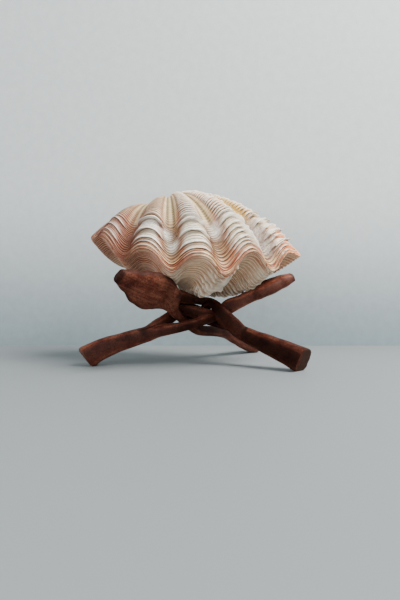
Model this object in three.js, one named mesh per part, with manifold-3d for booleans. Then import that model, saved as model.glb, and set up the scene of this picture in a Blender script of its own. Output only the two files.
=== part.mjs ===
// A small giant clam shell, both valves closed, lying on a carved wooden tripod of three interlocked legs.
// Millimetres, +Z up. The origin is on the table, under the middle of the whole object.
// Seen along +Y, the shell's fluted margin faces the viewer and the hinge is at the back.
import * as THREE from 'three';
import { mergeVertices } from 'three/addons/utils/BufferGeometryUtils.js';
import Module from 'manifold-3d';

const wasm = await Module();
wasm.setup();

// Shell: margin seen from above, measured from the beak at the hinge, x to the right, y to the back.
// The first point is the left tip, and RIGHT_TIP is the index of the right one.
const MARGIN_PLAN = [
  [-50, -25], [-45.5, -36], [-38, -45], [-21, -61], [-4, -72.5], [12.5, -79], [29.4, -82], [46, -79.5],
  [61, -73], [76, -66.5], [87, -58.5], [97, -46], [91, -36], [62, -20], [28, -9.5], [0, -4], [-20, -6],
  [-39, -14],
];
const RIGHT_TIP = 11;
// Folds of the margin: bearing from the beak in degrees, fold number (whole on a rib of the upper valve,
// half on a rib of the lower valve) and height of the wave there.
const FOLDS = [
  [-90, -1.3, 0], [-62, -0.6, 0], [-40.5, 0, 5.5], [-19, 0.5, 5.6], [-3.2, 1, 5.4], [9.1, 1.5, 5.8],
  [19.8, 2, 4.8], [30, 2.5, 6], [40.2, 3, 7.6], [49.5, 3.5, 5.6], [56, 4, 4.6], [64.7, 4.35, 0.5],
  [90, 4.5, 0],
];
const TROUGH_SHARPNESS = 0.12;
const MARGIN_SAMPLES = 600;

// Growth: each valve is its own margin, shrunk and turned about the hinge line up to its beak.
// The right side also swings in towards the beak, both ends are lifted, and the folds fade upwards.
const BEAK_TURN = 2.95;
const BEAK_ROUNDNESS = 6;
const OUTER_TURN = 2.7;
const WAVE_END_TURN = 1.2;
const SWING = 0.6;
const SWING_REACH = 25;
const SWING_END = 2;
const VALVES = {
  upper_valve: {
    side: 1, shrink: 0.75, rightLift: 0.42, rightStart: 36, leftLift: 0.34, leftStart: -12,
    ribRelief: 1.8, waveFade: 0.6,
  },
  lower_valve: {
    side: -1, shrink: 0.79, rightLift: 0.7, rightStart: 34, leftLift: 1.3, leftStart: -22,
    ribRelief: 1.6, waveFade: 0.25,
  },
};

// Relief on the folds: ribs that rise away from the margin, and ledges where growth paused.
// A ledge drops to its foot within LEDGE_STEP, and is lower between the ribs.
const RIB_RISE_TURN = 0.35;
const LEDGE_TURNS = [0.07, 0.16, 0.26, 0.37, 0.5, 0.64, 0.8, 0.98];
const LEDGE_HEIGHT = 1.1;
const LEDGE_STEP = 0.02;
const LEDGE_FOOT = -0.4;
const LEDGE_BETWEEN_RIBS = 0.35;
const UPPER_ROWS = [1.2, 1.5, 1.85, 2.25];

// Wall: thickness at the margin and deep inside, and how far up the hollow goes.
const EDGE_WALL = 3;
const DEEP_WALL = 12;
const DEEP_TURN = 0.8;
const HOLLOW_TURNS = [0, 0.2, 0.5, 1, 1.6];
const HOLLOW_CENTRE = [22, -42];
const HOLLOW_FLATTENING = 0.85;
const VALVE_GAP = 0.6;
const COLUMNS_PER_FOLD = 9;
const HINGE_COLUMNS = 10;

// Pose of the shell on the stand: pitched towards the viewer, rolled to the right, and the beak's place.
const SHELL_PITCH = 20;
const SHELL_ROLL = 3.3;
const BEAK = [-23.8, 31.4, 95.2];

// Stand. Each station of a leg is [x, y, z, width, thickness, roll in degrees].
// The body runs from the foot along the lower strand of the slot to the tip of the hood,
// and the bridge is the upper strand, which closes the slot. footCut slants the sawn end of the foot.
const SECTION_SIDES = 12;
const SECTION_SQUARENESS = 2.9;
const STATION_STEPS = 2;
const TABLE_SIZE = 400;
const UP = new THREE.Vector3(0, 0, 1);
const LEGS = {
  left_leg: {
    footCut: [0, -0.16],
    body: [
      [-70.9, -16.3, 5.4, 13, 16, 0], [-61.8, -16.1, 10.6, 12.5, 14, 0], [-45.8, -15.6, 16.3, 11, 11.5, 0],
      [-31.8, -15.4, 20.6, 9.5, 10.5, -8], [-21.8, -16.6, 23.2, 8, 7.6, -20],
      [-6.8, -18.8, 26.2, 5.4, 6.6, -20], [8.2, -14, 30.6, 6, 6.6, -20],
      [17.2, -10.2, 34.2, 7, 7.4, -12], [24.2, -9.6, 39.3, 9, 10, -5], [32.8, -8.1, 43.2, 9.5, 8, -8],
      [38.2, -7.3, 45.9, 12, 8, -8], [44.2, -6.6, 48.9, 19, 9, -8],
      [52.2, -6, 52.7, 20.6, 9.8, -8], [60.2, -5.6, 56.2, 16.5, 8.8, -8], [68.2, -5.3, 59.4, 10, 6, -8],
    ],
    bridge: [
      [-33, -15, 22.5, 7, 5, -10], [-22.8, -13.2, 27.6, 7, 8, -20], [-14.8, -10.2, 32.6, 5, 9, -20],
      [-8.8, -9.2, 37.4, 5.2, 4.8, -10], [-3.8, -9.4, 36.3, 5.6, 7.8, -10], [2.2, -10.8, 35.2, 6, 8.4, -15],
      [9.2, -11.8, 34, 6, 7, -15], [16.2, -11.4, 34.2, 7, 4.6, -15],
    ],
  },
  right_leg: {
    footCut: [-0.3, 0],
    body: [
      [67.1, -38.4, 6.5, 13, 16, 0], [58.2, -32.9, 10.6, 12.6, 14, 0], [48.2, -26.7, 14.9, 11.5, 12.5, 0],
      [38.2, -20.6, 19, 10, 10.5, 0], [30.2, -15.7, 22.6, 9, 9.5, -8], [23.7, -11.1, 25.4, 7, 5.6, -25],
      [16.7, -6.4, 27.5, 6.6, 6, -30], [10.6, -3.2, 30.6, 6.6, 9, -25], [2.7, 1.7, 34, 8.4, 11, -15],
      [-7.8, 8, 37.4, 8.5, 12.4, -10], [-17.8, 14.4, 45, 10.5, 9.4, -8], [-25.8, 19.4, 51.6, 19, 7.6, -8],
      [-35.8, 25.6, 56.2, 20.6, 7.7, -8], [-44.8, 31.2, 59.6, 16.5, 7.2, -8], [-54.5, 37.1, 63, 10, 5, -8],
    ],
    bridge: [
      [33, -17.8, 21.4, 6.5, 8, -5], [26.6, -20, 26.6, 5, 10.4, -5], [20.8, -21, 31.2, 4.6, 11.2, -5],
      [16.6, -19.8, 36.4, 4.6, 9.2, -12], [12.8, -13.2, 41.6, 6, 5.6, -22], [9.6, -6.3, 40, 6.5, 5, -25],
      [6.7, -0.6, 36.4, 6.5, 4.8, -20],
    ],
  },
  back_leg: {
    footCut: [0, 0],
    body: [
      [49.8, 54.4, 5.5, 13, 13.4, 0], [41.2, 44, 9.6, 12, 12.5, 0], [33.8, 34.9, 13.4, 11, 10.5, 0],
      [24.2, 22.9, 18.8, 9.5, 9, -8], [13.2, 9.9, 20.8, 7.5, 7, -15], [3.7, 0, 22.4, 7.5, 7, -15],
      [-3.3, -7.8, 26.6, 6.6, 5.2, -25], [-8.4, -14.4, 31.4, 6, 4.6, -32], [-12.6, -20.8, 36.4, 7, 5.2, -40],
      [-16.3, -26.1, 44.2, 19, 6.8, -56], [-20.8, -31.1, 47.6, 24, 7.5, -56],
      [-25.6, -36.4, 49, 26.4, 7.7, -56], [-30.8, -42.6, 51.3, 23, 7.7, -56],
      [-36.6, -49, 54.6, 15, 7.2, -52], [-42.4, -54.9, 57.6, 9, 5.5, -48],
    ],
    bridge: [
      [-16, -25.3, 46, 9, 7, -50], [-12.4, -20.8, 46.6, 8, 8.8, -40], [-8.8, -16.3, 46, 7, 8.4, -25],
      [3.2, -0.8, 42.9, 7, 5.4, -10], [12.7, 8.9, 41.2, 7, 4.6, -10], [21.2, 18.9, 32.5, 7, 5, -8],
      [30.7, 30.4, 17, 7, 4.6, 0],
    ],
  },
};
// Moves the whole object so that the origin is under the middle of its box.
const CENTRE_SHIFT = [1.48, -0.45, 0];

const SHELL_COLOUR = { upper_valve: 0xd8bfa6, lower_valve: 0xb9a68c };
const WOOD_COLOUR = 0x4a2116;

const radians = (degrees) => THREE.MathUtils.degToRad(degrees);
const smooth = (t) => THREE.MathUtils.smoothstep(t, 0, 1);

// Straight-line reading of one column of a table whose first column rises.
function readTable(table, key, column) {
  const after = table.findIndex((row) => row[0] > key);
  const [low, high] = [table[after - 1], table[after]];
  return THREE.MathUtils.mapLinear(key, low[0], high[0], low[column], high[column]);
}

// Height of the margin's wave: broad on the ribs of the upper valve, a little sharper between them.
function wave(fold) {
  const turn = 2 * Math.PI * fold;
  return Math.cos(turn) - TROUGH_SHARPNESS * Math.cos(2 * turn);
}

// Columns of the valves: even in fold number along the fluted margin, then even along the hinge side.
function marginColumns() {
  const plan = MARGIN_PLAN.map(([x, y]) => new THREE.Vector3(x, y, 0));
  const curve = new THREE.CatmullRomCurve3(plan, true, 'centripetal');
  const tip = RIGHT_TIP / MARGIN_PLAN.length;
  const front = [];
  for (let i = 0; i <= MARGIN_SAMPLES; i += 1) {
    const point = curve.getPoint((tip * i) / MARGIN_SAMPLES);
    const bearing = THREE.MathUtils.radToDeg(Math.atan2(point.x, -point.y));
    front.push({ point, fold: readTable(FOLDS, bearing, 1), height: readTable(FOLDS, bearing, 2) });
  }
  const [first, last] = [front[0].fold, front.at(-1).fold];
  const count = Math.round((last - first) * COLUMNS_PER_FOLD);
  const columns = [];
  for (let i = 0; i <= count; i += 1) {
    const fold = first + ((last - first) * i) / count;
    const { point, height } = front.find((sample) => sample.fold >= fold - 1e-9);
    const ribFade = smooth(i / COLUMNS_PER_FOLD) * smooth((count - i) / COLUMNS_PER_FOLD);
    columns.push({ x: point.x, y: point.y, z: height * wave(fold), fold, ribFade });
  }
  for (let i = 1; i < HINGE_COLUMNS; i += 1) {
    const point = curve.getPoint(tip + ((1 - tip) * i) / HINGE_COLUMNS);
    columns.push({ x: point.x, y: point.y, z: 0, fold: 0, ribFade: 0 });
  }
  return columns;
}

// Share of the folds that is left at a turn.
const foldsLeft = (turn, valve) => 1 - valve.waveFade * smooth(turn / WAVE_END_TURN);

// One margin point carried by growth to a turn (0 at the margin) of a valve.
function grown(point, turn, valve) {
  const ending = 1 - (turn / BEAK_TURN) ** BEAK_ROUNDNESS;
  const scale = Math.exp(-valve.shrink * turn) * ending;
  const right = Math.max(0, point.x);
  const swing = SWING * Math.min(turn, SWING_END) ** 2 * (right / (right + SWING_REACH));
  const rightLift = valve.rightLift * Math.max(0, point.x - valve.rightStart);
  const lift = rightLift + valve.leftLift * Math.max(0, valve.leftStart - point.x);
  const z = point.z * valve.side * foldsLeft(turn, valve);
  const up = (lift - point.y) * Math.sin(turn) + z * Math.cos(turn);
  return new THREE.Vector3(
    point.x * scale * Math.exp(-swing),
    scale * (point.y * Math.cos(turn) + z * Math.sin(turn)),
    (scale * up + VALVE_GAP / 2) * valve.side,
  );
}

// Outward direction of the valve at a column and turn.
function outward(columns, i, turn, valve) {
  const step = 0.01;
  const count = columns.length;
  const next = grown(columns[(i + 1) % count], turn, valve);
  const previous = grown(columns[(i + count - 1) % count], turn, valve);
  const upward = grown(columns[i], turn + step, valve).sub(grown(columns[i], turn, valve));
  return next.sub(previous).cross(upward).multiplyScalar(valve.side).normalize();
}

// Relief at a column and turn: ribs rise away from the margin, and each ledge stands out at its lip.
function relief(column, turn, lip, valve) {
  const ribs = valve.side > 0 ? wave(column.fold) : -wave(column.fold);
  const scale = Math.exp(-valve.shrink * turn);
  const ribHeight = valve.ribRelief * foldsLeft(turn, valve) * smooth(turn / RIB_RISE_TURN);
  const onRib = column.ribFade * THREE.MathUtils.lerp(LEDGE_BETWEEN_RIBS, 1, smooth((ribs + 1) / 2));
  return scale * (ribHeight * ribs * column.ribFade + lip * LEDGE_HEIGHT * onRib);
}

// Outer rows of a valve. A ledge is a pair of rows: the lip, and the foot of the step just above it.
function outerRows() {
  const rows = [{ turn: 0, lip: 0 }];
  for (const turn of LEDGE_TURNS) {
    rows.push({ turn, lip: 1 });
    rows.push({ turn: turn + LEDGE_STEP, lip: LEDGE_FOOT });
  }
  for (const turn of UPPER_ROWS) rows.push({ turn, lip: 0 });
  rows.push({ turn: OUTER_TURN, lip: 0 });
  return rows;
}

// The same margin point moved in towards the middle of the hollow, with its wave dying out deeper inside.
function hollowPoint(column, turn) {
  const depth = smooth(turn / DEEP_TURN);
  const wall = THREE.MathUtils.lerp(EDGE_WALL, DEEP_WALL, depth);
  const [cx, cy] = HOLLOW_CENTRE;
  const shrink = 1 - wall / Math.hypot(column.x - cx, column.y - cy);
  return {
    x: cx + (column.x - cx) * shrink,
    y: cy + (column.y - cy) * shrink,
    z: column.z * (1 - HOLLOW_FLATTENING * depth),
  };
}

// Joins rings of equal length into one closed surface, with a point at each end.
function closedSurface(rings, startPoint, endPoint, flip) {
  const size = rings[0].length;
  const points = [startPoint, ...rings.flat(), endPoint];
  const at = (ring, i) => 1 + ring * size + (i % size);
  const faces = [];
  const add = (a, b, c) => faces.push(...(flip ? [a, c, b] : [a, b, c]));
  for (let i = 0; i < size; i += 1) {
    add(0, at(0, i + 1), at(0, i));
    for (let ring = 0; ring + 1 < rings.length; ring += 1) {
      add(at(ring, i), at(ring, i + 1), at(ring + 1, i + 1));
      add(at(ring, i), at(ring + 1, i + 1), at(ring + 1, i));
    }
    add(points.length - 1, at(rings.length - 1, i), at(rings.length - 1, i + 1));
  }
  const geometry = new THREE.BufferGeometry();
  geometry.setAttribute('position', new THREE.Float32BufferAttribute(points.flatMap((p) => p.toArray()), 3));
  geometry.setIndex(faces);
  return geometry;
}

const middle = (ring) => ring.reduce((sum, p) => sum.add(p), new THREE.Vector3()).divideScalar(ring.length);

// A valve is one closed wall: up the hollow from its deepest ring to the margin, then over to the beak.
function valveGeometry(valve) {
  const columns = marginColumns();
  const inner = [...HOLLOW_TURNS].reverse().map((turn) => (
    columns.map((column) => grown(hollowPoint(column, turn), turn, valve))));
  const outer = outerRows().map(({ turn, lip }) => columns.map((column, i) => {
    const rise = relief(column, turn, lip, valve);
    return grown(column, turn, valve).addScaledVector(outward(columns, i, turn, valve), rise);
  }));
  const rings = [...inner, ...outer];
  return closedSurface(rings, middle(rings[0]), middle(rings.at(-1)), valve.side < 0);
}

// Rounded, slightly squared section of a leg, in its own plane.
function sectionPoint(step, width, thickness) {
  const angle = (2 * Math.PI * (step + 0.5)) / SECTION_SIDES;
  const power = 2 / SECTION_SQUARENESS;
  const [c, s] = [Math.cos(angle), Math.sin(angle)];
  return [
    0.5 * width * Math.sign(c) * Math.abs(c) ** power,
    0.5 * thickness * Math.sign(s) * Math.abs(s) ** power,
  ];
}

// Sweeps the section along the stations of one strand.
function strandGeometry(stations, footCut = [0, 0]) {
  const places = stations.map(([x, y, z]) => new THREE.Vector3(x, y, z));
  const path = new THREE.CatmullRomCurve3(places, false, 'centripetal');
  const spans = stations.length - 1;
  const rings = [];
  for (let i = 0; i <= spans * STATION_STEPS; i += 1) {
    const along = i / STATION_STEPS;
    const low = Math.min(Math.floor(along), spans - 1);
    const [width, thickness, roll] = [3, 4, 5].map((column) => (
      THREE.MathUtils.lerp(stations[low][column], stations[low + 1][column], smooth(along - low))));
    const centre = path.getPoint(along / spans);
    const forward = path.getTangent(along / spans);
    const right = new THREE.Vector3().crossVectors(forward, UP).normalize();
    const up = new THREE.Vector3().crossVectors(right, forward);
    right.applyAxisAngle(forward, radians(roll));
    up.applyAxisAngle(forward, radians(roll));
    const ring = [];
    for (let step = 0; step < SECTION_SIDES; step += 1) {
      const [across, high] = sectionPoint(step, width, thickness);
      const slant = i === 0 ? across * footCut[0] + high * footCut[1] : 0;
      const point = centre.clone().addScaledVector(right, across).addScaledVector(up, high);
      ring.push(point.addScaledVector(forward, slant));
    }
    rings.push(ring);
  }
  return closedSurface(rings, middle(rings[0]), middle(rings.at(-1)), true);
}

function toSolid(geometry) {
  const bare = geometry.clone();
  bare.deleteAttribute('normal');
  bare.deleteAttribute('uv');
  const merged = mergeVertices(bare, 1e-4);
  return new wasm.Manifold(new wasm.Mesh({
    numProp: 3,
    vertProperties: new Float32Array(merged.attributes.position.array),
    triVerts: new Uint32Array(merged.index.array),
  }));
}

function toGeometry(solid) {
  const mesh = solid.getMesh();
  const geometry = new THREE.BufferGeometry();
  geometry.setAttribute('position', new THREE.Float32BufferAttribute(Array.from(mesh.vertProperties), 3));
  geometry.setIndex(Array.from(mesh.triVerts));
  geometry.computeVertexNormals();
  return geometry;
}

// A leg: its two strands joined, and the foot cut flat where it stands on the table.
function legGeometry({ body, bridge, footCut }) {
  const table = new THREE.BoxGeometry(TABLE_SIZE, TABLE_SIZE, TABLE_SIZE).translate(0, 0, -TABLE_SIZE / 2);
  const wood = toSolid(strandGeometry(body, footCut)).add(toSolid(strandGeometry(bridge)));
  return toGeometry(wood.subtract(toSolid(table)));
}

const object = new THREE.Group();
object.position.fromArray(CENTRE_SHIFT);

const shell = new THREE.Group();
shell.position.fromArray(BEAK);
shell.rotation.set(radians(SHELL_PITCH), radians(SHELL_ROLL), 0, 'YXZ');
for (const [name, valve] of Object.entries(VALVES)) {
  const finish = new THREE.MeshStandardMaterial({ color: SHELL_COLOUR[name], roughness: 0.6, metalness: 0 });
  const mesh = new THREE.Mesh(valveGeometry(valve), finish);
  mesh.name = name;
  shell.add(mesh);
}
object.add(shell);

for (const [name, leg] of Object.entries(LEGS)) {
  const finish = new THREE.MeshStandardMaterial({ color: WOOD_COLOUR, roughness: 0.45, metalness: 0 });
  const mesh = new THREE.Mesh(legGeometry(leg), finish);
  mesh.name = name;
  object.add(mesh);
}

export default object;
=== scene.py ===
import math
import bmesh
import bpy
import numpy as np
from mathutils import Matrix, Vector


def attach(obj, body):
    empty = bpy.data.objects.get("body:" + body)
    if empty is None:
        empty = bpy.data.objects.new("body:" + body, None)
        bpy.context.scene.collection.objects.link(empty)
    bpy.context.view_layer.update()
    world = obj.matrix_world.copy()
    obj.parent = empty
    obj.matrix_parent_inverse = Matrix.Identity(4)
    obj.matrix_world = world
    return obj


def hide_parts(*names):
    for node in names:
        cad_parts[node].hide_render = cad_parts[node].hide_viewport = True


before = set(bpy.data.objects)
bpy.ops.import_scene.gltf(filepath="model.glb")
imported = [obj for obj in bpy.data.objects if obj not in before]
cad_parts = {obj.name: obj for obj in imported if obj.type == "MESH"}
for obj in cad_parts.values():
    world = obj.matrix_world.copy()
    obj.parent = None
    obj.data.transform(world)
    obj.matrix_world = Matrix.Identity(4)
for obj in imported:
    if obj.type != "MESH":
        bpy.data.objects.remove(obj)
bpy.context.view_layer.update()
mm = 0.001
tiny = 1e-6  # keeps apart two rows that share a turn
print("frame loaded:", ", ".join(sorted(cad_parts)))

# Small shared tools.


def smooth(t):
    t = np.clip(t, 0, 1)
    return t * t * (3 - 2 * t)


def mix(a, b, t):
    return a + (b - a) * t


def softNoise(u, v, seed, size=64):  # smooth random waves between -1 and 1, one per unit
    table = np.random.default_rng(seed).uniform(-1, 1, (size, size))
    lowU, lowV = np.floor(u).astype(int), np.floor(v).astype(int)
    partU, partV = smooth(u - lowU), smooth(v - lowV)
    near = mix(table[lowU % size, lowV % size], table[(lowU + 1) % size, lowV % size], partU)
    far = mix(table[lowU % size, (lowV + 1) % size], table[(lowU + 1) % size, (lowV + 1) % size], partU)
    return mix(near, far, partV)


def throughPoints(points, places, closed=False):  # centripetal curve through the points, places in spans
    points = np.asarray(points, float)
    if closed:
        chain = np.concatenate([points[-1:], points, points[:2]])
        spans = len(points)
    else:
        chain = np.concatenate([[2 * points[0] - points[1]], points, [2 * points[-1] - points[-2]]])
        spans = len(points) - 1
    low = np.clip(np.floor(places).astype(int), 0, spans - 1)
    t = (places - low)[:, None]
    p = [chain[low + k] for k in range(4)]
    gap = [np.linalg.norm(p[k + 1] - p[k], axis=1)[:, None] ** 0.5 for k in range(3)]
    leave = (p[1] - p[0]) / gap[0] - (p[2] - p[0]) / (gap[0] + gap[1]) + (p[2] - p[1]) / gap[1]
    arrive = (p[2] - p[1]) / gap[1] - (p[3] - p[1]) / (gap[1] + gap[2]) + (p[3] - p[2]) / gap[2]
    leave, arrive = leave * gap[1], arrive * gap[1]
    bend = 3 * (p[2] - p[1]) - 2 * leave - arrive
    turnBack = 2 * (p[1] - p[2]) + leave + arrive
    return p[1] + leave * t + bend * t ** 2 + turnBack * t ** 3


def tubeFaces(count, size):  # faces of a tube of rings, whose two end points come after the rings
    faces = []
    for ring in range(count - 1):
        for i in range(size):
            j = (i + 1) % size
            faces.append((ring * size + i, ring * size + j, (ring + 1) * size + j, (ring + 1) * size + i))
    start, end, lastRing = count * size, count * size + 1, (count - 1) * size
    for i in range(size):
        j = (i + 1) % size
        faces.append((start, j, i))
        faces.append((end, lastRing + i, lastRing + j))
    return faces


def markMesh(mesh, marks):  # stores values on the points of a mesh and shades it smooth
    for label, values in marks.items():
        values = np.asarray(values, np.float32)
        kind, field = ("FLOAT_VECTOR", "vector") if values.ndim == 2 else ("FLOAT", "value")
        mesh.attributes.new(label, kind, "POINT").data.foreach_set(field, values.ravel())
    mesh.polygons.foreach_set("use_smooth", [True] * len(mesh.polygons))


def makePiece(name, vertices, faces, marks=None):
    mesh = bpy.data.meshes.new(name)
    mesh.from_pydata(np.asarray(vertices).tolist(), [], faces)
    markMesh(mesh, marks or {})
    mesh.update()
    piece = bpy.data.objects.new(name, mesh)
    bpy.context.scene.collection.objects.link(piece)
    return piece


def triangleCount(piece):
    return sum(len(face.vertices) - 2 for face in piece.data.polygons)


# Node building: one call adds a node, sets its options and fills its inputs.


def addNode(tree, kind, inputs=None, **options):
    made = tree.nodes.new(kind)
    for option, value in options.items():
        setattr(made, option, value)
    for key, value in (inputs or {}).items():
        if isinstance(value, bpy.types.NodeSocket):
            tree.links.new(value, made.inputs[key])
        else:
            made.inputs[key].default_value = value
    return made


def maths(tree, operation, *values):
    return addNode(tree, "ShaderNodeMath", dict(enumerate(values)), operation=operation).outputs[0]


def times(tree, first, second):
    return maths(tree, "MULTIPLY", first, second)


def fade(tree, value, low, high, fromValue=0.0, toValue=1.0):
    inputs = {0: value, 1: low, 2: high, 3: fromValue, 4: toValue}
    return addNode(tree, "ShaderNodeMapRange", inputs, interpolation_type="SMOOTHSTEP").outputs[0]


def blendColour(tree, factor, first, second, how="MIX"):
    inputs = {0: factor, 6: first, 7: second}
    return addNode(tree, "ShaderNodeMix", inputs, data_type="RGBA", blend_type=how).outputs[2]


def named(tree, label, vector=False):
    if tree.type == "GEOMETRY":
        kind = "FLOAT_VECTOR" if vector else "FLOAT"
        return addNode(tree, "GeometryNodeInputNamedAttribute", {0: label}, data_type=kind).outputs[0]
    return addNode(tree, "ShaderNodeAttribute", attribute_name=label).outputs["Vector" if vector else "Fac"]


def noiseValue(tree, vector, scale, detail, roughness=0.5):
    inputs = {"Vector": vector, "Scale": scale, "Detail": detail, "Roughness": roughness}
    return addNode(tree, "ShaderNodeTexNoise", inputs).outputs[0]


def seededNoise(tree, scale, seed, detail=2.0):  # noise by position, another one for each seed
    inputs = {"Scale": scale, "Detail": detail, "W": seed}
    return addNode(tree, "ShaderNodeTexNoise", inputs, noise_dimensions="4D").outputs


def scaledVector(tree, vector, amount):
    return addNode(tree, "ShaderNodeVectorMath", {0: vector, "Scale": amount}, operation="SCALE").outputs[0]


def pushedOut(tree, geometry, height):  # points moved along their normals
    offset = scaledVector(tree, addNode(tree, "GeometryNodeInputNormal").outputs[0], height)
    return addNode(tree, "GeometryNodeSetPosition", {0: geometry, "Offset": offset}).outputs[0]


def colour(text):  # a web colour as linear values
    parts = [int(text[i:i + 2], 16) / 255 for i in (1, 3, 5)]
    return tuple([p / 12.92 if p <= 0.04045 else ((p + 0.055) / 1.055) ** 2.4 for p in parts] + [1.0])


socketKinds = {float: "NodeSocketFloat", int: "NodeSocketInt", tuple: "NodeSocketColor"}


def newGroup(name, kind, inputs, outputs):
    tree = bpy.data.node_groups.new(name, kind)
    for label, value in inputs.items():
        kindOfSocket = socketKinds.get(type(value), value)
        made = tree.interface.new_socket(label, in_out="INPUT", socket_type=kindOfSocket)
        if type(value) in socketKinds:
            made.default_value = value
    for label, socketKind in outputs.items():
        tree.interface.new_socket(label, in_out="OUTPUT", socket_type=socketKind)
    return tree, tree.nodes.new("NodeGroupInput").outputs, tree.nodes.new("NodeGroupOutput").inputs


def growNodes(piece, tree, values):  # runs a node tree on a piece and keeps the result as a plain mesh
    bpy.context.view_layer.update()
    modifier = piece.modifiers.new(tree.name, "NODES")
    modifier.node_group = tree
    for item in tree.interface.items_tree:
        if item.in_out == "INPUT" and item.name in values:
            modifier[item.identifier] = values[item.name]
    graph = bpy.context.evaluated_depsgraph_get()
    grownPiece = piece.evaluated_get(graph)
    result = bpy.data.meshes.new_from_object(grownPiece, preserve_all_data_layers=True, depsgraph=graph)
    piece.modifiers.clear()
    bare = piece.data
    piece.data = result
    bpy.data.meshes.remove(bare)
    result.name = piece.name


# Shell. Each valve is its margin, shrunk and turned about the hinge line up to its beak.
# Lengths in millimetres, measured from the beak: x right, y back. Folds: bearing, fold number, wave height.
# wander: waves per fold and per turn, what is added to the seed, size. uneven: amount, waves per fold and
# per line.
# wideRib, narrowRib and stripes: where they start and over how much they grow.

shellGrowth = {
    "marginPlan": [
        (-50, -25), (-45.5, -36), (-38, -45), (-21, -61), (-4, -72.5), (12.5, -79), (29.4, -82), (46, -79.5),
        (61, -73), (76, -66.5), (87, -58.5), (97, -46), (91, -36), (62, -20), (28, -9.5), (0, -4), (-20, -6),
        (-39, -14),
    ],
    "rightTip": 11,
    "folds": [
        (-90, -1.3, 0), (-62, -0.6, 0), (-40.5, 0, 5.5), (-19, 0.5, 5.6), (-3.2, 1, 5.4), (9.1, 1.5, 5.8),
        (19.8, 2, 4.8), (30, 2.5, 6), (40.2, 3, 7.6), (49.5, 3.5, 5.6), (56, 4, 4.6), (64.7, 4.35, 0.5),
        (90, 4.5, 0),
    ],
    "troughSharpness": 0.12,
    "beakTurn": 2.95,
    "beakRoundness": 6,
    "lastTurn": 2.88,
    "swing": 0.6,
    "swingReach": 25,
    "swingEnd": 2,
    "ribRiseTurn": 0.35,
    "waveEndTurn": 1.2,
    "commissureGap": 0.24,
    "hollowTurns": [1.6, 1.3, 1.0, 0.75, 0.5, 0.35, 0.2, 0.1, 0.04, 0],
    "hollowCentre": (22, -42),
    "edgeWall": 3,
    "deepWall": 12,
    "deepTurn": 0.8,
    "hollowFlattening": 0.85,
    "pitch": 20,
    "roll": 3.3,
    "beak": (-23.8, 31.4, 95.2),
    "centreShift": (1.48, -0.45, 0),
    "ribletsPerFold": 6,
    "columnsPerFold": 52,
    "hingeColumns": 34,
    "marginSamples": 3000,
    "markFades": (1.5, 3),
    "hingeFolds": 0.8,
    "lipWallShare": 0.12,
    "wander": [(1.1, 9, 0, 0.014), (3.1, 20, 1, 0.004), (9, 40, 5, 0.0018)],
    "wanderFade": 0.1,
    "uneven": (0.4, 1.7, 7.3),
    "wideRib": (-0.8, 1.3),
    "narrowRib": (-0.45, 1.2),
    "stripes": (0.25, 0.2),
    "extraReach": 0.6,
    "stepFade": 0.03,
    "stepBase": 0.3,
    "stepLipPower": 5,
    "bigLipRise": 0.8,
    "footRise": 0.5,
    "lineHang": 0.003,
    "stepHang": 0.005,
    "lineFade": 0.02,
    "linePower": 1.5,
    "lineBase": 0.5,
    "ropeLines": 0.2,
    "fullHeight": 1.6,
    "frillPower": 3,
    "insideMarks": {"fold": 1.25, "lineRise": 0.6, "stepRise": 0.6},
    "ropeSlope": [(0.0, 0.0), (0.2, 0.08), (0.33, 1.0), (0.58, 0.9), (0.82, 0.3)],
    "endSlope": [(0.0, 0.0), (0.08, 1.0)],
}

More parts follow.
